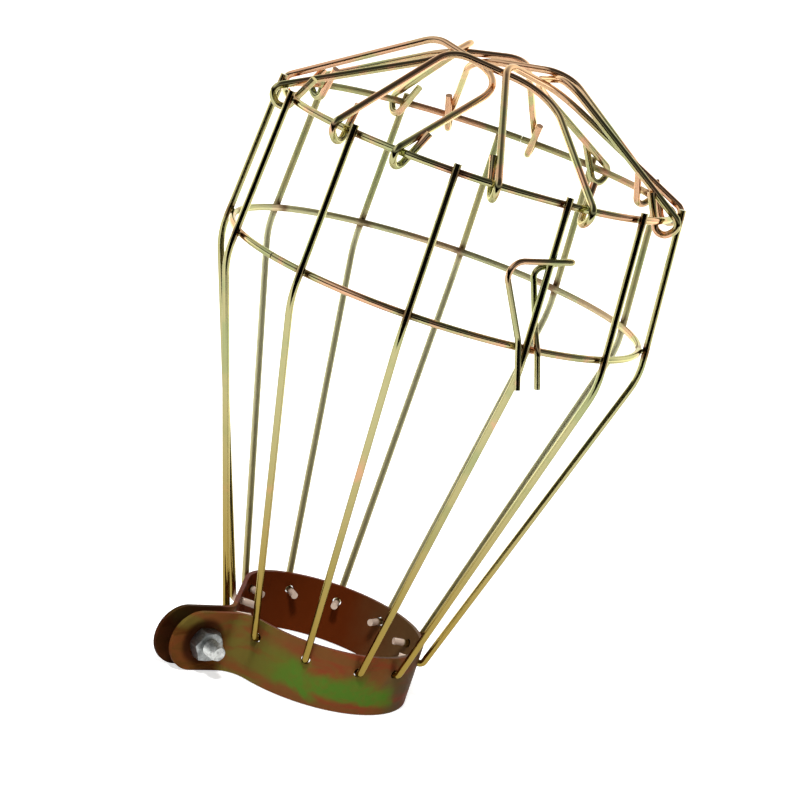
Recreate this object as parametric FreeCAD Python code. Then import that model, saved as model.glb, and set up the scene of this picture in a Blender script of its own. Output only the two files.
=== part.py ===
"""Clamp-on wire guard for a lamp bulb: collar, uprights, rings, hooked cap wires and a spring clip."""
import FreeCAD, Part
import math
import os

V = FreeCAD.Vector
UP = V(0, 0, 1)

# Wire
WIRE = 1.7                  # diameter of every wire
FIT = 0.05                  # air left between two wires that touch
PITCH = WIRE + FIT          # centre to centre of two touching wires

# Collar strap
BORE_R = 24.0               # inside radius of the collar
SHEET = 1.0                 # strap thickness
BAND_H = 14.8               # strap height
EAR_ANGLE = 223.0           # direction of the two ears round the collar
EAR_GAP = 2.4               # air between the ears before they are tightened
EAR_BEND = 5.4              # inside radius where the strap turns out into an ear
EAR_R = 45.2                # reach of the front ear from the axis
EAR_MORE = 2.2              # how much farther the back ear reaches
TUCK_R = 15.0               # middle of the strap where the bolt has pulled it in, on the back ear's side
TUCK_FROM = -93.0           # where that starts, from the ears
TUCK_TO = -43.0             # where it runs out into a straight wall
HOLE_Z = 10.6               # height of the wire holes
HOLE_R = 1.1                # wire holes

# Clamp bolt and nut
BOLT_R = 2.0
BOLT_CLEAR = 0.25           # radial air round the bolt in the ears
BOLT_IN = 8.8               # bolt axis in from the end of the front ear
BOLT_PAST = 3.8             # bolt end past the nut
THREAD_PITCH = 0.7
THREAD_DEPTH = 0.38
NUT_AF = 7.0
NUT_H = 3.2
HEAD_AF = 7.0
HEAD_H = 2.8

# Cage
UPRIGHTS = 12
STEP = 360.0 / UPRIGHTS     # angle between two uprights
FIRST_UPRIGHT = 176.0       # direction of upright 1
# How far each upright's foot and head stand off the even spacing
FOOT_OFF = [0, 0, 1.2, 1.5, 1.7, -2.8, 1, 0, 0, 0, 0, 1]
HEAD_OFF = [0, 0, 0.2, 0, 0.5, -3.1, 0.9, 0, 0, 0, 0, 0.5]
FOOT_AT = [FIRST_UPRIGHT + STEP * i + off for i, off in enumerate(FOOT_OFF)]
HEAD_AT = [FIRST_UPRIGHT + STEP * i + off for i, off in enumerate(HEAD_OFF)]
MID_R = 50.0                # middle ring, centre of the wire
TOP_R = 47.3                # top ring, centre of the wire
TOP_Z = 133.4               # height of the top ring
RING_DROP = 32.4            # middle ring below the top ring
MID_Z = TOP_Z - RING_DROP
RING_JOINT = 0.3            # gap of the butt joint in a ring
MID_JOINT_AT = 224.0        # direction of the middle ring's joint
TOP_JOINT_AT = 79.0         # direction of the top ring's joint
TIP_IN = 4.0                # upright's tip inside the collar wall
FOOT_OUT = 1.05             # upright's corner outside the collar wall
FOOT_BEND = 1.2
KNEE_DROP = 6.0             # upright's bend below the middle ring
KNEE_BEND = 20.0
HEAD_UP = 2.0               # upright's end above the top ring

# Cap wires: corners of a hook from the ring's centre, as outward, upward and sideways
HOOK_TIP = (-4.7, 5.2, 3.4)
HOOK_TIP_1 = (-4.7, 5.2, 2.0)  # on an arch's first hook
HOOK_UNDER = (-0.3, -4.8, 0.0)
HOOK_OUT = (4.4, 0.05, 0.0)
HOOK_BEND = 2.2
CAP_BEND_1 = 8.0            # bend at the first corner of an arch
CAP_BEND_2 = 14.0           # bend at its last corner
# Each arch: direction of its first and last hook, then its top's reach from the axis, half width, turn in plan,
# height above the top ring and slope, so that each arch lies over the one before it
CAP = [
    (166.0, 250.0, 9.2, 12.6, 20.6, 19.7, 0.12),
    (231.0, 303.0, 14.1, 12.3, 8.9, 20.0, 0.11),
    (277.0, 369.0, 8.4, 12.4, 2.5, 20.1, 0.18),
    (341.0, 411.0, 10.4, 12.1, 1.9, 20.3, 0.19),
    (391.0, 461.0, 6.3, 12.2, 1.6, 20.8, 0.19),
    (436.0, 510.0, 12.2, 9.3, -3.4, 20.6, 0.16),
    (479.0, 554.0, 13.0, 9.3, 5.3, 20.1, 0.27),
]

# Spring clip on the fifth upright: corners as sideways and outward from the upright and up from the middle ring
CLIP_WIRE = 1.4
CLIP_AT = HEAD_AT[4]
CLIP_OFF = (WIRE + CLIP_WIRE) / 2 + 0.1  # where it crosses in front of the upright or behind it
CLIP = [
    (0.0, CLIP_OFF, -8.5),
    (-2.4, CLIP_OFF - 1.2, 1.5),
    (-11.9, CLIP_OFF, 18.2),
    (4.6, CLIP_OFF, 21.3),
    (4.6, -CLIP_OFF, 20.7),
    (-2.9, -CLIP_OFF, 17.3),
    (1.8, -CLIP_OFF, 4.5),
    (2.9, 0.2, 0.3),
    (5.6, 0.0, -7.7),
]
CLIP_BENDS = [8.0, 3.5, 1.4, 1.4, 2.2, 4.0, 4.0]


def polar(r, deg, z):
    a = math.radians(deg)
    return V(r * math.cos(a), r * math.sin(a), z)


def bent_wire(points, bends, dia=WIRE):
    """A round wire along straight runs, each inner corner turned at its own bend radius."""
    edges = []
    at = points[0]
    for i in range(1, len(points) - 1):
        back = (points[i - 1] - points[i]).normalize()
        on = (points[i + 1] - points[i]).normalize()
        half = back.getAngle(on) / 2
        run = bends[i - 1] / math.tan(half)
        into = (back + on).normalize()
        centre = points[i] + into * (bends[i - 1] / math.sin(half))
        start = points[i] + back * run
        end = points[i] + on * run
        if (start - at).Length > 1e-4:
            edges.append(Part.LineSegment(at, start).toShape())
        edges.append(Part.Arc(start, centre - into * bends[i - 1], end).toShape())
        at = end
    edges.append(Part.LineSegment(at, points[-1]).toShape())
    first = (points[1] - points[0]).normalize()
    disc = Part.Face(Part.Wire(Part.makeCircle(dia / 2, points[0], first)))
    return Part.Wire(edges).makePipe(disc)


def hexagon(flats, height):
    """A hexagonal prism along Z with both ends chamfered to its inscribed circle."""
    r = flats / math.sqrt(3)
    corners = [polar(r, 60 * i, 0) for i in range(6)]
    body = Part.Face(Part.makePolygon(corners + corners[:1])).extrude(V(0, 0, height))
    drop = (r - flats / 2 * 0.97) * math.tan(math.radians(30))
    side = [V(0, 0, 0), V(flats / 2 * 0.97, 0, 0), V(r, 0, drop), V(r, 0, height - drop),
            V(flats / 2 * 0.97, 0, height), V(0, 0, height)]
    turned = Part.Face(Part.makePolygon(side + side[:1])).revolve(V(0, 0, 0), UP, 360)
    return body.common(turned)


def collar_side(offset):
    """Edges of one face of the strap in plan, ears along X, from the front ear to the back ear."""
    mid = BORE_R + SHEET / 2
    ring = mid + offset
    turn = EAR_BEND + SHEET / 2 - offset
    ear = EAR_GAP / 2 + SHEET / 2 + offset
    tuck = TUCK_R + offset

    # Front ear: the ring turns straight out
    front = V(math.sqrt((ring + turn) ** 2 - (ear + turn) ** 2), ear + turn, 0)
    lean = math.degrees(math.atan2(front.y, front.x))
    leave = polar(ring, lean, 0)
    meet = V(front.x, ear, 0)

    # Back ear: the ring is tucked in, runs straight, then turns out
    inner = polar(mid - TUCK_R, TUCK_FROM, 0)
    side = polar(1, TUCK_TO, 0)
    back = V(0, -ear - turn, 0)
    back.x = (inner.dot(side) + tuck + turn - back.y * side.y) / side.x
    foot = V(back.x, -ear, 0)

    return [Part.LineSegment(V(EAR_R, ear, 0), meet).toShape(),
            Part.Arc(meet, front + polar(turn, (lean + 450) / 2, 0), leave).toShape(),
            Part.Arc(leave, V(-ring, 0, 0), polar(ring, TUCK_FROM, 0)).toShape(),
            Part.Arc(polar(ring, TUCK_FROM, 0), inner + polar(tuck, (TUCK_FROM + TUCK_TO) / 2, 0),
                     inner + side * tuck).toShape(),
            Part.LineSegment(inner + side * tuck, back - side * turn).toShape(),
            Part.Arc(back - side * turn, back + polar(turn, (TUCK_TO + 270) / 2, 0), foot).toShape(),
            Part.LineSegment(foot, V(EAR_R + EAR_MORE, -ear, 0)).toShape()]


def strap():
    """The collar's bent strap with rounded ears and the bolt's holes."""
    outside = collar_side(SHEET / 2)
    inside = collar_side(-SHEET / 2)
    ends = [Part.LineSegment(outside[i].Vertexes[j].Point, inside[i].Vertexes[j].Point).toShape()
            for i, j in ((0, 0), (-1, 1))]
    outline = Part.Wire(Part.__sortEdges__(outside + inside + ends))
    body = Part.Face(outline).extrude(V(0, 0, BAND_H))
    half = BAND_H / 2
    deep = EAR_GAP + 2 * SHEET
    for reach, low in ((EAR_R, 0), (EAR_R + EAR_MORE, -deep)):
        block = Part.makeBox(half + 1, deep, BAND_H + 2, V(reach - half, low, -1))
        round_end = Part.makeCylinder(half, deep, V(reach - half, low, half), V(0, 1, 0))
        body = body.cut(block.cut(round_end))
    hole = Part.makeCylinder(BOLT_R + BOLT_CLEAR, 2 * deep, V(EAR_R - BOLT_IN, -deep, half), V(0, 1, 0))
    body = body.cut(hole)
    body.rotate(V(0, 0, 0), UP, EAR_ANGLE)
    return body


def wall(body, deg):
    """Where the strap starts and ends along one direction from the axis, at the height of the wire holes."""
    ray = Part.LineSegment(polar(1, deg, HOLE_Z), polar(EAR_R, deg, HOLE_Z)).toShape()
    first = min(ray.common(body).Edges, key=lambda edge: polar(1, deg, 0).dot(edge.CenterOfMass))
    return sorted(math.hypot(v.X, v.Y) for v in first.Vertexes)


def collar(body):
    for deg in FOOT_AT:
        start = polar(wall(body, deg)[0] - 2 * SHEET, deg, HOLE_Z)
        body = body.cut(Part.makeCylinder(HOLE_R, 5 * SHEET, start, polar(1, deg, 0)))
    return body


def fastener_place(shape):
    """Stand a shape made along Z at the bolt, Z pointing out of the front ear."""
    shape.rotate(V(0, 0, 0), V(1, 0, 0), -90)
    shape.translate(V(EAR_R - BOLT_IN, 0, BAND_H / 2))
    shape.rotate(V(0, 0, 0), UP, EAR_ANGLE)
    return shape


def bolt():
    face = EAR_GAP / 2 + SHEET
    start = face + 0.4
    end = face + NUT_H + BOLT_PAST
    root = BOLT_R - THREAD_DEPTH
    side = [V(0, 0, -face), V(BOLT_R, 0, -face), V(BOLT_R, 0, start)]
    z = start
    while z + THREAD_PITCH < end - 0.5:
        side.append(V(root, 0, z + THREAD_PITCH / 2))
        side.append(V(BOLT_R, 0, z + THREAD_PITCH))
        z += THREAD_PITCH
    side += [V(root, 0, end), V(0, 0, end)]
    shank = Part.Face(Part.makePolygon(side + side[:1])).revolve(V(0, 0, 0), UP, 360)
    head = hexagon(HEAD_AF, HEAD_H)
    head.translate(V(0, 0, -face - HEAD_H))
    return fastener_place(shank.fuse(head).removeSplitter())


def nut():
    body = hexagon(NUT_AF, NUT_H).cut(Part.makeCylinder(BOLT_R + FIT, NUT_H + 2, V(0, 0, -1)))
    body.translate(V(0, 0, EAR_GAP / 2 + SHEET))
    return fastener_place(body)


def ring(radius, height, joint_at):
    gap = math.degrees(RING_JOINT / radius)
    disc = Part.Face(Part.Wire(Part.makeCircle(WIRE / 2, V(radius, 0, 0), V(0, 1, 0))))
    loop = disc.revolve(V(0, 0, 0), UP, 360 - gap)
    loop.rotate(V(0, 0, 0), UP, joint_at + gap / 2)
    loop.translate(V(0, 0, height))
    return loop


def run_r(z):
    """Distance from the axis of an upright's upper run, which rests on both rings."""
    lean = (MID_R - TOP_R) / RING_DROP
    return TOP_R + PITCH * math.hypot(1, lean) + (TOP_Z - z) * lean


def upright(body, foot_at, head_at):
    inside, outside = wall(body, foot_at)
    points = [polar(inside - TIP_IN, foot_at, HOLE_Z), polar(outside + FOOT_OUT, foot_at, HOLE_Z)]
    points += [polar(run_r(z), head_at, z) for z in (MID_Z - KNEE_DROP, TOP_Z + HEAD_UP)]
    return bent_wire(points, [FOOT_BEND, KNEE_BEND])


def hook(deg, tip, side):
    """Corners of one hook round the top ring, from its free tip to the foot of its leg."""
    return [polar(TOP_R + out, deg, TOP_Z + up) + polar(side * across, deg + 90, 0)
            for out, up, across in (tip, HOOK_UNDER, HOOK_OUT)]


def cap_wire(first, last, reach, half, turn, rise, slope):
    middle = (first + last) / 2
    top = polar(reach, middle, TOP_Z + rise)
    side = polar(half, middle + 90 + turn, -half * slope)
    points = hook(last, HOOK_TIP, 1) + [top + side, top - side] + hook(first, HOOK_TIP_1, -1)[::-1]
    return bent_wire(points, [HOOK_BEND, HOOK_BEND, CAP_BEND_2, CAP_BEND_1, HOOK_BEND, HOOK_BEND])


def clip():
    points = [polar(run_r(MID_Z + up) + out, CLIP_AT, MID_Z + up) + polar(across, CLIP_AT + 90, 0)
              for across, out, up in CLIP]
    return bent_wire(points, CLIP_BENDS, CLIP_WIRE)


def main():
    os.makedirs("parts", exist_ok=True)
    body = strap()
    made = {"collar_strap": collar(body), "clamp_bolt": bolt(), "clamp_nut": nut(),
            "middle_ring": ring(MID_R, MID_Z, MID_JOINT_AT), "top_ring": ring(TOP_R, TOP_Z, TOP_JOINT_AT)}
    for i in range(UPRIGHTS):
        made["upright_%02d" % (i + 1)] = upright(body, FOOT_AT[i], HEAD_AT[i])
    for i, row in enumerate(CAP):
        made["cap_wire_%d" % (i + 1)] = cap_wire(*row)
    made["spring_clip"] = clip()
    for name, shape in made.items():
        shape.exportStep("parts/%s.step" % name)
        print(name, shape.ShapeType, shape.isValid(), len(shape.Solids), round(shape.Volume, 1))


main()
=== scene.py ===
"""Looks of the bulb cage guard: plated wires, brown collar, zinc fasteners, weld spots and a plain studio."""
import math

import bpy
from bpy.props import FloatProperty, FloatVectorProperty, PointerProperty
from mathutils import Matrix, Vector


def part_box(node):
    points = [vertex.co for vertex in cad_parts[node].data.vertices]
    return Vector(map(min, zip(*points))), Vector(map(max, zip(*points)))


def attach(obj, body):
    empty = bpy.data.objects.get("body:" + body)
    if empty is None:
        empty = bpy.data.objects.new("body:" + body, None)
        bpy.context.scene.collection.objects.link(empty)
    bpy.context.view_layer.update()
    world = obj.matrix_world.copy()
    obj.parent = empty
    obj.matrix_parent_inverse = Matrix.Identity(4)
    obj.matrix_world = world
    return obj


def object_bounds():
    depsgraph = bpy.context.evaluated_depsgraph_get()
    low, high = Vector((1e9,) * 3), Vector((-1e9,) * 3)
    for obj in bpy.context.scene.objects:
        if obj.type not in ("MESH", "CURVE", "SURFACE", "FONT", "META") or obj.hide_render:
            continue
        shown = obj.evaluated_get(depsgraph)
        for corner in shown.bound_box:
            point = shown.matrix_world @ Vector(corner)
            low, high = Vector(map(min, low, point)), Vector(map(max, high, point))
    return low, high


bl_info = {
    "name": "Bulb cage guard looks",
    "version": (1, 0, 0),
    "blender": (4, 5, 0),
    "location": "3D View > Sidebar > Guard",
    "description": "Plates the guard's wires, collar and fasteners, adds its welds and sets the studio",
    "category": "Object",
}

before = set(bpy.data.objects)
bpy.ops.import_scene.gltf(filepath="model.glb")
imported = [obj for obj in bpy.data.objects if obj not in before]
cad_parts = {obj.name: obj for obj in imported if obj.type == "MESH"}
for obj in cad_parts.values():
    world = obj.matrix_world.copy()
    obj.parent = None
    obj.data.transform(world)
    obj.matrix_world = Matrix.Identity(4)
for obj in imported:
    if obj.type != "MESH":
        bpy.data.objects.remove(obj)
CAD_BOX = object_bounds()

UPRIGHTS = sorted(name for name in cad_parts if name.startswith("upright_"))
CAP_WIRES = sorted(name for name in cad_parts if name.startswith("cap_wire_"))
RINGS = ["middle_ring", "top_ring"]


# Places read from the frame

def ring_size(name):
    """Radius and height of a ring's centre line and the radius of its wire, from its box."""
    low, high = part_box(name)
    wire = (high.z - low.z) / 2
    return (high.y - low.y) / 2 - wire, (high.z + low.z) / 2, wire


def middle(name):
    """Middle of a node's box."""
    low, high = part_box(name)
    return (low + high) / 2


MIDDLE_R, MIDDLE_Z, WIRE_R = ring_size("middle_ring")
TOP_R, TOP_Z, _ = ring_size("top_ring")
STRAP = 0.001  # thickness of the collar's strap
BORE_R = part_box("collar_strap")[1].x - STRAP
NUT = middle("clamp_nut")
BOLT = middle("clamp_bolt")
CROWN = Vector((0, 0, CAD_BOX[1][2]))


def upright_angle(name):
    """Direction round the axis of an upright's upper run, from the corners above the top ring."""
    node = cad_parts[name]
    corners = [node.matrix_world @ corner.co for corner in node.data.vertices]
    head = sum((corner for corner in corners if corner.z > TOP_Z), Vector())
    return math.atan2(head.y, head.x)


def weld_places(radius, height):
    """Middle of the weld between each upright and a ring."""
    angles = [upright_angle(name) for name in UPRIGHTS]
    reach = radius + WIRE_R
    return [Vector((reach * math.cos(angle), reach * math.sin(angle), height)) for angle in angles]


MIDDLE_WELDS = weld_places(MIDDLE_R, MIDDLE_Z)
TOP_WELDS = weld_places(TOP_R, TOP_Z)


# Settings a user would change

def colour(name, text, value):
    """A colour setting."""
    return FloatVectorProperty(name=name, description=text, default=value, size=3, min=0, max=1,
                               subtype="COLOR")


def weld_size(name, text, value):
    """A size of a weld spot."""
    return FloatProperty(name=name, description=text, default=value, min=0.0005, max=0.004, unit="LENGTH")


def lamp_power(name, text, value):
    """Power of a lamp."""
    return FloatProperty(name=name, description=text, default=value, min=0, unit="POWER")


class GuardFinishes(bpy.types.PropertyGroup):
    """Colours of the plating"""
    wire_gold: colour("Wire gold", "Yellow of the plated wire", (0.50, 0.46, 0.225))
    wire_olive: colour("Wire olive", "Green tint of the plated wire", (0.40, 0.42, 0.20))
    wire_rose: colour("Wire rose", "Pink tint of the plated wire", (0.74, 0.43, 0.26))
    # Painted shade: the wire's gold deepens near the collar.
    wire_foot_shade: colour("Wire foot shade", "Painted shade, deeper gold of the wire near the collar", (0.36, 0.25, 0.055))
    # Painted reflection: the back wires' lower runs are paler.
    wire_pale_reflection: colour("Wire pale reflection", "Painted reflection, paler yellow of the lower runs at the back", (0.70, 0.68, 0.43))
    # Bare cut tips, painted pale partly as their highlight.
    wire_tip_and_highlight: colour("Wire tip and highlight", "Bare metal of the wires' cut tips, with their painted highlight", (0.80, 0.62, 0.50))
    wire_heat: colour("Weld heat", "Brown heat tint beside a weld", (0.17, 0.07, 0.035))
    collar_brown: colour("Collar brown", "Main brown of the plated strap", (0.18, 0.072, 0.022))
    collar_maroon: colour("Collar maroon", "Dark red of the strap's ears", (0.10, 0.018, 0.004))
    collar_inside: colour("Collar inside", "Dull dark red of the strap's inside", (0.115, 0.021, 0.004))
    # Painted shade round the nut; darker on the back ear.
    nut_shade_and_dark_ear: colour("Nut shade and dark ear", "Painted shade round the nut, and a darker back ear", (0.026, 0.006, 0.003))
    collar_red: colour("Collar red", "Red streak along the strap", (0.23, 0.052, 0.02))
    collar_green: colour("Collar green", "Green tint low on the strap's front", (0.085, 0.175, 0.02))
    collar_olive: colour("Collar olive", "Olive tint beside the ears", (0.16, 0.125, 0.025))
    collar_grey: colour("Collar grey", "Grey olive tint away from the ears", (0.115, 0.085, 0.035))
    zinc_bright: colour("Bright zinc", "Colour of the bolt", (0.86, 0.88, 0.86))
    zinc_dull: colour("Dull zinc", "Colour of the nut", (0.46, 0.48, 0.48))


class GuardWelds(bpy.types.PropertyGroup):
    """Sizes of the weld spots"""
    width: weld_size("Weld width", "Width of a weld spot across the ring", 0.0017)
    height: weld_size("Weld height", "Height of a weld spot", 0.0013)
    depth: weld_size("Weld depth", "Depth of a weld spot between the two wires", 0.0011)


class GuardStudio(bpy.types.PropertyGroup):
    """Floor, lights and camera"""
    floor: colour("Floor", "Colour of the floor", (0.86, 0.86, 0.85))
    lens: FloatProperty(name="Lens", description="Focal length of the camera in millimetres",
                        default=115.17, min=10, unit="CAMERA")
    distance: FloatProperty(name="Camera distance", description="How far in front the camera stands",
                            default=0.59184, min=0.1, unit="LENGTH")
    height: FloatProperty(name="Camera height", description="Height of the camera over the floor",
                          default=0.20903, min=0, unit="LENGTH")
    key: lamp_power("Key light", "Power of the light in front", 12.0)
    fill: lamp_power("Fill light", "Power of the light behind", 2.0)


# Shader helpers

def new_finish(name):
    """A node material with its plain shader; returns the material, its node tree and the shader."""
    finish = bpy.data.materials.new(name)
    finish.use_nodes = True
    return finish, finish.node_tree, finish.node_tree.nodes["Principled BSDF"]


def put(tree, socket, value):
    """Set a socket to a value, or link it to another node's output."""
    if isinstance(value, bpy.types.NodeSocket):
        tree.links.new(value, socket)
    else:
        socket.default_value = value


def add(tree, kind, settings=None, **inputs):
    """A node of a kind; an input goes by its name, or by its number after an i."""
    made = tree.nodes.new("ShaderNode" + kind)
    for key, value in (settings or {}).items():
        setattr(made, key, value)
    for key, value in inputs.items():
        numbered = key[0] == "i" and key[1:].isdigit()
        put(tree, made.inputs[int(key[1:]) if numbered else key.replace("_", " ")], value)
    return made


def math_node(tree, operation, *values):
    """Result of an operation on values or outputs."""
    made = add(tree, "Math", {"operation": operation}, **{"i%d" % i: v for i, v in enumerate(values)})
    return made.outputs[0]


def times(tree, first, *others):
    """Product of several values or outputs."""
    for other in others:
        first = math_node(tree, "MULTIPLY", first, other)
    return first


def ramp_between(tree, value, low, high, to_low=0.0, to_high=1.0):
    """A smooth step of a value from one limit to the other."""
    made = add(tree, "MapRange", {"interpolation_type": "SMOOTHSTEP"}, Value=value,
               From_Min=low, From_Max=high, To_Min=to_low, To_Max=to_high)
    return made.outputs[0]


def opaque(value):
    """A colour with its alpha."""
    return tuple(value) + (1.0,)


def blend_colours(tree, share, under, over):
    """A share of one colour over another."""
    return add(tree, "Mix", {"data_type": "RGBA"}, i0=share, i6=under, i7=over).outputs[2]


def tinted(tree, share, base, tone):
    """A share of a plain tone over what is there."""
    return blend_colours(tree, share, base, opaque(tone))


def object_place(tree):
    """Object coordinates."""
    return add(tree, "TexCoord").outputs["Object"]


def split(tree, place):
    """X, Y and Z of a place or direction."""
    return add(tree, "SeparateXYZ", Vector=place).outputs


def from_axis(tree, x, y):
    """Distance from the cage's axis."""
    return math_node(tree, "SQRT", math_node(tree, "ADD", times(tree, x, x), times(tree, y, y)))


def from_point(tree, place, point):
    """Distance from a point."""
    return add(tree, "VectorMath", {"operation": "DISTANCE"}, i0=place, i1=point).outputs["Value"]


def noise(tree, place, scale, detail=2.0, roughness=0.5, distortion=0.0):
    """An uneven pattern of values round a half."""
    made = add(tree, "TexNoise", Vector=place, Scale=scale, Detail=detail, Roughness=roughness,
               Distortion=distortion)
    return made.outputs["Fac"]


def push(tree, pattern, size):
    """A pattern as a push to either side."""
    return times(tree, math_node(tree, "SUBTRACT", pattern, 0.5), size)


def fine_bump(tree, shader, place, scale, strength, depth):
    """Small unevenness of a surface."""
    bump = add(tree, "Bump", Height=noise(tree, place, scale), Strength=strength, Distance=depth)
    put(tree, shader.inputs["Normal"], bump.outputs[0])


# Finishes

# A pattern below has its scale, detail, roughness and distortion, and a grain its scale, strength and depth.
# A ramp has its two limits, in metres for a place, and its values there where they aren't 0 and 1.
WIRE_PATCHES = (62, 2.0, 0.55, 0.6)
WIRE_SPECKS = (310, 3.0, 0.6, 0.3)
WIRE_GRAIN = (2600, 0.10, 0.00006)
SPECK_PUSH = 0.35
OLIVE_TO_GOLD = (0.34, 0.50)
ROSE_SPAN = 0.13
# Painted reflection: where the back wires' lower runs turn paler.
PALE_Y = (0.004, 0.026)                  # lower runs at the back
PALE_Z = (0.108, 0.094)
# Painted shade: where the feet of the wires darken, less so at the back.
FOOT_Y = (0.016, -0.004, 0.45, 1.0)      # feet of the wires, less so at the back
FOOT_Z = (0.084, 0.012)
# Tips inside the collar, painted pale as bare metal and as a highlight.
TIP_R = (0.0232, 0.0222)                 # tips inside the collar
TIP_Z = (0.030, 0.020)
TIP_METAL = (0.0, 1.0, 1.0, 0.25)
# Pinker copper towards the crown, partly a painted highlight.
CROWN_BLUSH_AND_HIGHLIGHT = (0.034, 0.014, 0.0, 0.85)  # off the top of the cap
CLIP_BLUSH = (0.011, 0.005, 0.0, 0.85)   # off the clip's upper bend
HEAT_REACH = (0.0012, 0.0032, 1.0, 0.0)  # off a weld
HEAT_SPECKS = (0.30, 0.62, 0.35, 0.9)
WIRE_GLOSS = (0.25, 0.75, 0.05, 0.13)    # roughness by specks
BACK_Y = (-0.005, 0.030)                 # where the wires grow duller
WIRE_SPECULAR = (0.72, 0.70, 0.55, 1.0)


def heat_tint(tree, place):
    """Share of brown heat tint beside the welds."""
    nearest = None
    for weld in MIDDLE_WELDS + TOP_WELDS:
        away = from_point(tree, place, weld)
        nearest = away if nearest is None else math_node(tree, "MINIMUM", nearest, away)
    return ramp_between(tree, nearest, *HEAT_REACH)


def wire_finish(name, looks, rose_from, heat=False, tips=False, blush=None, back_dull=0.40):
    """Yellow plating with green and pink tints, duller at the back, with painted reflection that pales the
    lower runs at the back and painted shade that deepens the gold at the feet.

    Where wanted it is brown beside the welds, bare at the tips inside the collar with a painted highlight
    there, and pink round one place.
    """
    finish, tree, shader = new_finish(name)
    place = object_place(tree)
    x, y, z = split(tree, place)
    specks = noise(tree, place, *WIRE_SPECKS)
    tint = math_node(tree, "ADD", noise(tree, place, *WIRE_PATCHES), push(tree, specks, SPECK_PUSH))
    gold = ramp_between(tree, tint, *OLIVE_TO_GOLD)
    base = blend_colours(tree, gold, opaque(looks.wire_olive), opaque(looks.wire_gold))
    rose = ramp_between(tree, tint, rose_from, rose_from + ROSE_SPAN)
    base = tinted(tree, rose, base, looks.wire_rose)
    # Painted reflection: the lower runs at the back are paler.
    pale = times(tree, ramp_between(tree, y, *PALE_Y), ramp_between(tree, z, *PALE_Z))
    base = tinted(tree, pale, base, looks.wire_pale_reflection)
    # Painted shade: the gold deepens towards the collar.
    foot = times(tree, ramp_between(tree, z, *FOOT_Z), ramp_between(tree, y, *FOOT_Y))
    base = tinted(tree, foot, base, looks.wire_foot_shade)
    shader.inputs["Metallic"].default_value = 1.0
    if tips:
        # Bare cut metal and painted highlight: the tips inside the collar are paler.
        tip = times(tree, ramp_between(tree, from_axis(tree, x, y), *TIP_R), ramp_between(tree, z, *TIP_Z))
        base = tinted(tree, tip, base, looks.wire_tip_and_highlight)
        put(tree, shader.inputs["Metallic"], ramp_between(tree, tip, *TIP_METAL))
    if blush:
        point, reach = blush
        pink = ramp_between(tree, from_point(tree, place, point), *reach)
        base = tinted(tree, pink, base, looks.wire_rose)
    if heat:
        brown = times(tree, heat_tint(tree, place), ramp_between(tree, specks, *HEAT_SPECKS))
        base = tinted(tree, brown, base, looks.wire_heat)
    put(tree, shader.inputs["Base Color"], base)
    shader.inputs["Specular Tint"].default_value = WIRE_SPECULAR
    dull = math_node(tree, "ADD", ramp_between(tree, specks, *WIRE_GLOSS),
                     ramp_between(tree, y, *BACK_Y, 0.0, back_dull))
    put(tree, shader.inputs["Roughness"], dull)
    fine_bump(tree, shader, place, *WIRE_GRAIN)
    return finish


COLLAR_CLOUDS = (70, 3.0, 0.6, 0.8)
COLLAR_SPECKS = (420, 4.0, 0.65, 0.4)
COLLAR_STREAKS = (58, 3.0, 0.6, 1.2)
COLLAR_GRAIN = (900, 0.05, 0.0001)
STREAK_SQUEEZE = (1.0, 1.0, 3.2)         # the streaks lie along the strap
CLOUD_PUSH = 0.012                       # how far the clouds push a tint's edge about
BROWN_TO_RED = (0.40, 0.66)
OLIVE_X = (-0.007, -0.014)               # towards the ears
OLIVE_STREAKS = (0.62, 0.42, 0.3, 0.95)
GREY_X = (0.0185, 0.0225)                # away from the ears
GREY_STREAKS = (0.40, 0.64, 0.9, 0.35)
GREEN_TOP = (0.0108, 0.0066)
GREEN_BOTTOM = (0.0010, 0.0036)
GREEN_LEFT = (-0.017, -0.003)
GREEN_RIGHT = (0.0240, 0.0205)
GREEN_FRONT = (0.002, -0.008)
GREEN_SPECKS = (0.30, 0.55, 0.75, 1.0)
INSIDE_R = (BORE_R + 0.0009, BORE_R + 0.0004)
INSIDE_X = (0.004, 0.020, 0.0, 0.6)      # from red to grey
INSIDE_METAL = (0.0, 1.0, 0.4, 0.0)
EAR_R = (0.0275, 0.0330)
EAR_STREAKS = (0.42, 0.62, 0.85, 0.4)
EAR_TOP = (0.0135, 0.0090, 0.15, 1.0)
# Darker on the back ear; painted shade round the nut.
BACK_EAR = (-0.0035, -0.0050, 0.0, 0.75)  # along the bolt from the nut
NUT_SHADE = (0.0068, 0.0050, 0.0, 0.85)   # off the nut's middle
COLLAR_GLOSS = (0.25, 0.75, 0.30, 0.44)   # roughness by specks
COLLAR_SPECULAR = (0.30, 0.15, 0.07, 1.0)
COLLAR_SPECULAR_LEVEL = 0.02


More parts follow.
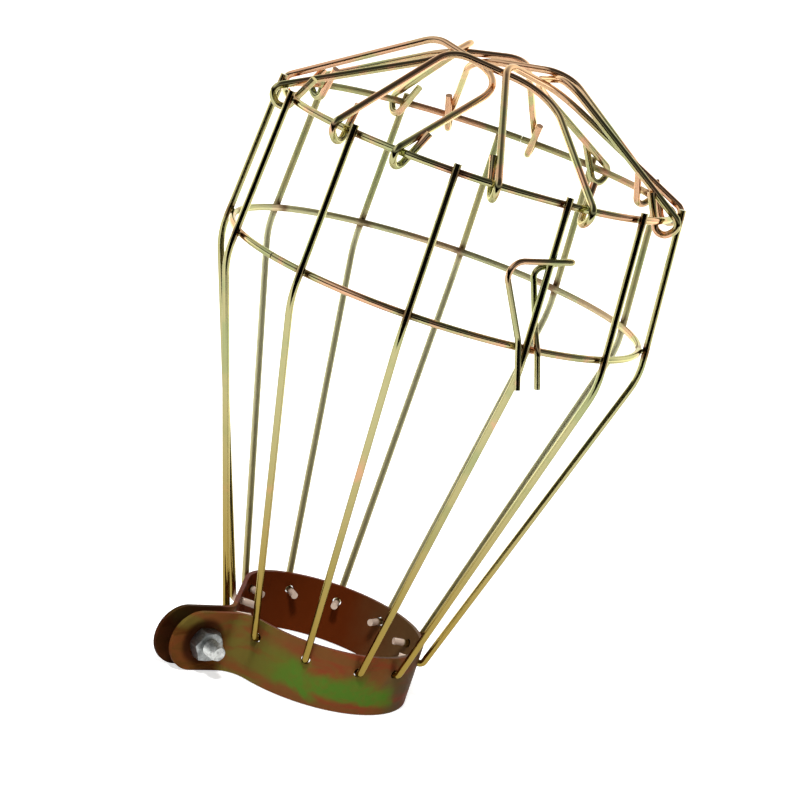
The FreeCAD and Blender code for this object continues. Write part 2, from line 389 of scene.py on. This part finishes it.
def collar_finish(looks):
    """Brown plating with red streaks, dull red inside, green low on the front, painted shade round the nut
    and a darker back ear.
    """
    finish, tree, shader = new_finish("brown_collar_plating")
    place = object_place(tree)
    x, y, z = split(tree, place)
    specks = noise(tree, place, *COLLAR_SPECKS)
    squeezed = add(tree, "Mapping", Vector=place, Scale=STREAK_SQUEEZE).outputs[0]
    streaks = noise(tree, squeezed, *COLLAR_STREAKS)
    wave = push(tree, noise(tree, place, *COLLAR_CLOUDS), CLOUD_PUSH)
    radius = from_axis(tree, x, y)
    across = math_node(tree, "ADD", x, wave)
    up = math_node(tree, "ADD", z, wave)

    # The strap
    red = ramp_between(tree, streaks, *BROWN_TO_RED)
    base = blend_colours(tree, red, opaque(looks.collar_brown), opaque(looks.collar_red))
    olive = times(tree, ramp_between(tree, across, *OLIVE_X), ramp_between(tree, streaks, *OLIVE_STREAKS))
    base = tinted(tree, olive, base, looks.collar_olive)
    grey = times(tree, ramp_between(tree, across, *GREY_X), ramp_between(tree, streaks, *GREY_STREAKS))
    base = tinted(tree, grey, base, looks.collar_grey)
    green = times(tree, ramp_between(tree, up, *GREEN_TOP), ramp_between(tree, up, *GREEN_BOTTOM),
                  ramp_between(tree, across, *GREEN_LEFT), ramp_between(tree, across, *GREEN_RIGHT),
                  ramp_between(tree, y, *GREEN_FRONT), ramp_between(tree, specks, *GREEN_SPECKS))
    base = tinted(tree, green, base, looks.collar_green)
    inside = ramp_between(tree, radius, *INSIDE_R)
    grey_inside = ramp_between(tree, across, *INSIDE_X)
    hollow = blend_colours(tree, grey_inside, opaque(looks.collar_inside), opaque(looks.collar_grey))
    base = blend_colours(tree, inside, base, hollow)

    # The ears
    ear = ramp_between(tree, math_node(tree, "ADD", radius, wave), *EAR_R)
    red_ear = times(tree, ear, ramp_between(tree, streaks, *EAR_STREAKS), ramp_between(tree, up, *EAR_TOP))
    base = tinted(tree, red_ear, base, looks.collar_maroon)
    from_nut = add(tree, "VectorMath", {"operation": "SUBTRACT"}, i0=place, i1=NUT).outputs["Vector"]
    bolt_way = (NUT - BOLT).normalized()
    along = add(tree, "VectorMath", {"operation": "DOT_PRODUCT"}, i0=from_nut, i1=bolt_way).outputs["Value"]
    # Darker on the back ear, and painted shade round the nut.
    base = tinted(tree, times(tree, ear, ramp_between(tree, along, *BACK_EAR)), base, looks.nut_shade_and_dark_ear)
    nut_shade = ramp_between(tree, from_point(tree, place, NUT), *NUT_SHADE)
    base = tinted(tree, nut_shade, base, looks.nut_shade_and_dark_ear)

    put(tree, shader.inputs["Base Color"], base)
    put(tree, shader.inputs["Metallic"], ramp_between(tree, inside, *INSIDE_METAL))
    shader.inputs["Specular Tint"].default_value = COLLAR_SPECULAR
    shader.inputs["Specular IOR Level"].default_value = COLLAR_SPECULAR_LEVEL
    put(tree, shader.inputs["Roughness"], ramp_between(tree, specks, *COLLAR_GLOSS))
    fine_bump(tree, shader, place, *COLLAR_GRAIN)
    return finish


ZINC_SPECKS = (700, 3.0, 0.6, 0.5)
ZINC_GRAIN = (3000, 0.15, 0.00006)
ZINC_SPOTS = (0.38, 0.66)
SPOT_SHADE = 0.55  # colour of a dull spot, as a share of the bright one
ZINC_GLOSS = (0.3, 0.7)
GLOSS_SPAN = 0.14


def zinc_finish(name, tone, rough):
    """Bright zinc with small dull spots."""
    finish, tree, shader = new_finish(name)
    place = object_place(tree)
    specks = noise(tree, place, *ZINC_SPECKS)
    dull = [SPOT_SHADE * part for part in tone]
    put(tree, shader.inputs["Base Color"],
        tinted(tree, ramp_between(tree, specks, *ZINC_SPOTS), opaque(tone), dull))
    shader.inputs["Metallic"].default_value = 1.0
    put(tree, shader.inputs["Roughness"],
        ramp_between(tree, specks, *ZINC_GLOSS, rough, rough + GLOSS_SPAN))
    fine_bump(tree, shader, place, *ZINC_GRAIN)
    return finish


def plate(names, finish):
    """Give nodes a finish."""
    for name in names:
        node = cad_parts[name]
        node.data.materials.clear()
        node.data.materials.append(finish)


# Operators that plate the guard

class GUARD_OT_plate_cage(bpy.types.Operator):
    """Plate the uprights and both rings"""
    bl_idname = "guard.plate_cage"
    bl_label = "Plate cage wires"

    def execute(self, context):
        looks = context.scene.guard_finishes
        plate(UPRIGHTS, wire_finish("upright_plating", looks, rose_from=0.66, heat=True, tips=True))
        plate(RINGS, wire_finish("ring_plating", looks, rose_from=0.49, heat=True))
        return {"FINISHED"}


class GUARD_OT_plate_cap(bpy.types.Operator):
    """Plate the cap wires, pinker at the crown partly as a painted highlight, and the spring clip, pink at
    its upper bend
    """
    bl_idname = "guard.plate_cap"
    bl_label = "Plate cap wires and clip"

    def execute(self, context):
        looks = context.scene.guard_finishes
        # Pinker copper towards the crown, partly a painted highlight.
        plate(CAP_WIRES, wire_finish("cap_plating", looks, rose_from=0.48, blush=(CROWN, CROWN_BLUSH_AND_HIGHLIGHT),
                                     back_dull=0.12))
        low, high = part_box("spring_clip")
        bend = Vector((low.x, low.y, high.z))
        plate(["spring_clip"], wire_finish("clip_plating", looks, rose_from=0.60, blush=(bend, CLIP_BLUSH)))
        return {"FINISHED"}


class GUARD_OT_plate_collar(bpy.types.Operator):
    """Plate the collar strap"""
    bl_idname = "guard.plate_collar"
    bl_label = "Plate collar"

    def execute(self, context):
        plate(["collar_strap"], collar_finish(context.scene.guard_finishes))
        return {"FINISHED"}


class GUARD_OT_plate_fasteners(bpy.types.Operator):
    """Plate the clamp bolt and its nut"""
    bl_idname = "guard.plate_fasteners"
    bl_label = "Plate bolt and nut"

    def execute(self, context):
        looks = context.scene.guard_finishes
        plate(["clamp_bolt"], zinc_finish("bolt_zinc", looks.zinc_bright, rough=0.42))
        plate(["clamp_nut"], zinc_finish("nut_zinc", looks.zinc_dull, rough=0.34))
        return {"FINISHED"}


# Weld spots

WAIST = 0.18                     # half the waist, as a share of a weld's depth
WAIST_DRAWN = (1.0, 0.82, 0.86)  # how far the waist is drawn in


class GUARD_OT_add_welds(bpy.types.Operator):
    """Add the weld spots that hold the uprights to the rings"""
    bl_idname = "guard.add_welds"
    bl_label = "Add weld spots"

    def execute(self, context):
        finish = wire_finish("weld_metal", context.scene.guard_finishes, rose_from=0.62)
        spots = [self.spot(context.scene.guard_welds)]
        while len(spots) < len(MIDDLE_WELDS + TOP_WELDS):
            bpy.ops.object.duplicate(linked=False)
            spots.append(context.view_layer.objects.active)
        for name, places in (("middle_ring_welds", MIDDLE_WELDS), ("top_ring_welds", TOP_WELDS)):
            bpy.ops.object.select_all(action="DESELECT")
            for at in places:
                spot = spots.pop(0)
                spot.location = at
                spot.rotation_euler.z = math.atan2(at.y, at.x)
                spot.select_set(True)
            context.view_layer.objects.active = spot
            context.view_layer.update()
            bpy.ops.object.join()
            welds = context.view_layer.objects.active
            welds.name = welds.data.name = name
            bpy.ops.object.transform_apply(location=True, rotation=True, scale=True)
            welds.data.materials.append(finish)
            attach(welds, "root")
        return {"FINISHED"}

    def spot(self, sizes):
        """One weld, alone selected: a ball pressed flat between the two wires, with its waist drawn in."""
        bpy.ops.object.select_all(action="DESELECT")
        bpy.ops.mesh.primitive_uv_sphere_add(segments=16, ring_count=10, radius=0.5)
        spot = bpy.context.view_layer.objects.active
        bpy.ops.object.mode_set(mode="EDIT")
        bpy.ops.mesh.select_all(action="SELECT")
        bpy.ops.transform.resize(value=(sizes.depth, sizes.width, sizes.height), orient_type="LOCAL")
        bpy.ops.mesh.select_all(action="DESELECT")
        bpy.ops.object.mode_set(mode="OBJECT")
        for corner in spot.data.vertices:
            corner.select = abs(corner.co.x) < WAIST * sizes.depth
        bpy.ops.object.mode_set(mode="EDIT")
        bpy.ops.transform.resize(value=WAIST_DRAWN, orient_type="LOCAL")
        bpy.ops.mesh.select_all(action="SELECT")
        bpy.ops.mesh.vertices_smooth(factor=0.3, repeat=1)
        bpy.ops.object.mode_set(mode="OBJECT")
        bpy.ops.object.shade_smooth()
        return spot


# Studio

WHITE = (1, 1, 1, 1)
FLOOR_R = 30
FLOOR_Z = -0.0002                         # just below the collar's rim
FLOOR_SEEN = (0.05, 0.45, 0.66, 1.0)      # glow towards the camera, by distance back
FLOOR_MIRRORED = (0.05, 0.40, 0.22, 1.9)  # glow towards reflections
FLOOR_FRONT = (-0.26, -0.16)              # front edge of the part that reflections show
FRONT_FLARE = 0.5                         # how far that edge comes forward with the distance aside
KEY_AT = (-0.15, -0.75, 1.0)
KEY_SIZE = 0.16
FILL_AT = (0.15, 0.75, 0.95)
FILL_SIZE = 0.7
LAMP_AIM = Vector((0, 0, 0.08))
SIDE_WALL = (-0.50, 0.30, 0.0, 0.22)      # light of the room, by direction back
BACK_WALL = (0.25, 0.80, 0.0, 1.45)
WALL_TOP = (0.35, 0.75, 1.0, 0.40)        # by direction up
STRIP_BOTTOM = (0.12, 0.28)
STRIP_TOP = (0.55, 0.40, 0.04, 0.29)
WINDOW_SIDE = (-0.35, -0.70, 0.0, 0.9)    # by direction aside
WINDOW_SILL = (0.20, 0.45)
CEILING = (0.80, 0.95, 0.0, 0.10)
CEILING_FRONT = (-0.25, 0.10)
ROOM_DARK = 0.01
VIEW_AHEAD = Vector((0.00122452, 0.97384076, -0.22722825))
VIEW_RIGHT = Vector((0.94896308, 0.07053281, 0.30739908))
SENSOR_WIDTH = 36
CLIP_START = 0.01


class GUARD_OT_set_studio(bpy.types.Operator):
    """Set the floor, the lights, the surroundings and the camera"""
    bl_idname = "guard.set_studio"
    bl_label = "Set studio"

    def execute(self, context):
        studio = context.scene.guard_studio
        self.floor(studio)
        self.light("key", studio.key, KEY_SIZE, KEY_AT)
        self.light("fill", studio.fill, FILL_SIZE, FILL_AT)
        self.surroundings(context.scene)
        self.camera(context.scene, studio)
        context.scene.view_settings.view_transform = "Standard"
        return {"FINISHED"}

    def floor(self, studio):
        """White paper that keeps the guard's shadow; its front is left out of reflections."""
        bpy.ops.object.select_all(action="DESELECT")
        bpy.ops.mesh.primitive_circle_add(vertices=96, radius=FLOOR_R, fill_type="NGON",
                                          location=(0, 0, FLOOR_Z))
        floor = bpy.context.view_layer.objects.active
        floor.name = "studio_floor"
        finish = bpy.data.materials.new("floor_paper")
        finish.use_nodes = True
        tree = finish.node_tree
        tree.nodes.clear()
        x, y, _ = split(tree, object_place(tree))
        ray = add(tree, "LightPath")
        paper = add(tree, "BsdfDiffuse", Color=opaque(studio.floor))
        seen = times(tree, ray.outputs["Is Camera Ray"], ramp_between(tree, y, *FLOOR_SEEN))
        mirrored = times(tree, ray.outputs["Is Glossy Ray"], ramp_between(tree, y, *FLOOR_MIRRORED))
        glow = add(tree, "Emission", Color=WHITE, Strength=math_node(tree, "ADD", mirrored, seen))
        sheet = add(tree, "AddShader", i0=paper.outputs[0], i1=glow.outputs[0])
        front = add(tree, "Emission", Color=WHITE, Strength=ray.outputs["Is Camera Ray"])
        flared = math_node(tree, "MULTIPLY_ADD", math_node(tree, "ABSOLUTE", x), FRONT_FLARE, y)
        both = add(tree, "MixShader", Fac=ramp_between(tree, flared, *FLOOR_FRONT),
                   i1=front.outputs[0], i2=sheet.outputs[0])
        add(tree, "OutputMaterial", Surface=both.outputs[0])
        floor.data.materials.append(finish)

    def light(self, name, power, size, at):
        """A square lamp aimed at the guard, which its reflections don't show."""
        bpy.ops.object.select_all(action="DESELECT")
        aim = (LAMP_AIM - Vector(at)).to_track_quat("-Z", "Y").to_euler()
        bpy.ops.object.light_add(type="AREA", location=at, rotation=aim)
        lamp = bpy.context.view_layer.objects.active
        lamp.name = "studio_" + name
        lamp.data.energy = power
        lamp.data.size = size
        lamp.visible_glossy = False

    def surroundings(self, scene):
        """White where the camera looks; for light and reflections a bright wall behind and a dark front."""
        world = bpy.data.worlds.new("studio_room")
        scene.world = world
        world.use_nodes = True
        tree = world.node_tree
        tree.nodes.clear()
        ray = add(tree, "LightPath")
        side, back, up = split(tree, add(tree, "TexCoord").outputs["Generated"])
        walls = math_node(tree, "ADD", ramp_between(tree, back, *SIDE_WALL),
                          ramp_between(tree, back, *BACK_WALL))
        room = times(tree, walls, ramp_between(tree, up, *WALL_TOP))
        strip = times(tree, ramp_between(tree, up, *STRIP_BOTTOM), ramp_between(tree, up, *STRIP_TOP))
        window = times(tree, ramp_between(tree, side, *WINDOW_SIDE), ramp_between(tree, up, *WINDOW_SILL))
        ceiling = times(tree, ramp_between(tree, up, *CEILING), ramp_between(tree, back, *CEILING_FRONT))
        for lit in (strip, window, ceiling):
            room = math_node(tree, "MAXIMUM", room, lit)
        room = math_node(tree, "ADD", room, ROOM_DARK)
        level = add(tree, "Mix", {"data_type": "FLOAT"}, i0=ray.outputs["Is Camera Ray"], i2=room, i3=1.0)
        shown = add(tree, "Background", Color=WHITE, Strength=level.outputs[0])
        add(tree, "OutputWorld", Surface=shown.outputs[0])

    def camera(self, scene, studio):
        """The photograph's view: a little above the cage, with the camera tipped to one side."""
        bpy.ops.object.select_all(action="DESELECT")
        bpy.ops.object.camera_add()
        camera = bpy.context.view_layer.objects.active
        camera.name = "studio_camera"
        camera.data.lens = studio.lens
        camera.data.sensor_width = SENSOR_WIDTH
        camera.data.clip_start = CLIP_START
        turn = Matrix((VIEW_RIGHT, VIEW_RIGHT.cross(VIEW_AHEAD), -VIEW_AHEAD)).transposed().to_4x4()
        camera.matrix_world = Matrix.Translation((0, -studio.distance, studio.height)) @ turn
        scene.camera = camera


class GUARD_PT_panel(bpy.types.Panel):
    """Lists the guard's steps and settings"""
    bl_idname = "GUARD_PT_panel"
    bl_label = "Bulb cage guard"
    bl_space_type = "VIEW_3D"
    bl_region_type = "UI"
    bl_category = "Guard"

    def draw(self, context):
        for step in STEPS:
            self.layout.operator(step.bl_idname)
        for group in (context.scene.guard_finishes, context.scene.guard_welds, context.scene.guard_studio):
            for key in group.bl_rna.properties.keys():
                if key not in ("rna_type", "name"):
                    self.layout.prop(group, key)


STEPS = (GUARD_OT_plate_cage, GUARD_OT_plate_cap, GUARD_OT_plate_collar, GUARD_OT_plate_fasteners,
         GUARD_OT_add_welds, GUARD_OT_set_studio)
GROUPS = (GuardFinishes, GuardWelds, GuardStudio)


def register():
    for made in GROUPS + STEPS + (GUARD_PT_panel,):
        bpy.utils.register_class(made)
    bpy.types.Scene.guard_finishes = PointerProperty(type=GuardFinishes)
    bpy.types.Scene.guard_welds = PointerProperty(type=GuardWelds)
    bpy.types.Scene.guard_studio = PointerProperty(type=GuardStudio)


def unregister():
    del bpy.types.Scene.guard_studio
    del bpy.types.Scene.guard_welds
    del bpy.types.Scene.guard_finishes
    for made in reversed(GROUPS + STEPS + (GUARD_PT_panel,)):
        bpy.utils.unregister_class(made)


def main():
    register()
    bpy.ops.guard.plate_cage()
    bpy.ops.guard.plate_cap()
    bpy.ops.guard.plate_collar()
    bpy.ops.guard.plate_fasteners()
    bpy.ops.guard.add_welds()
    bpy.ops.guard.set_studio()


if __name__ == "__main__":
    main()
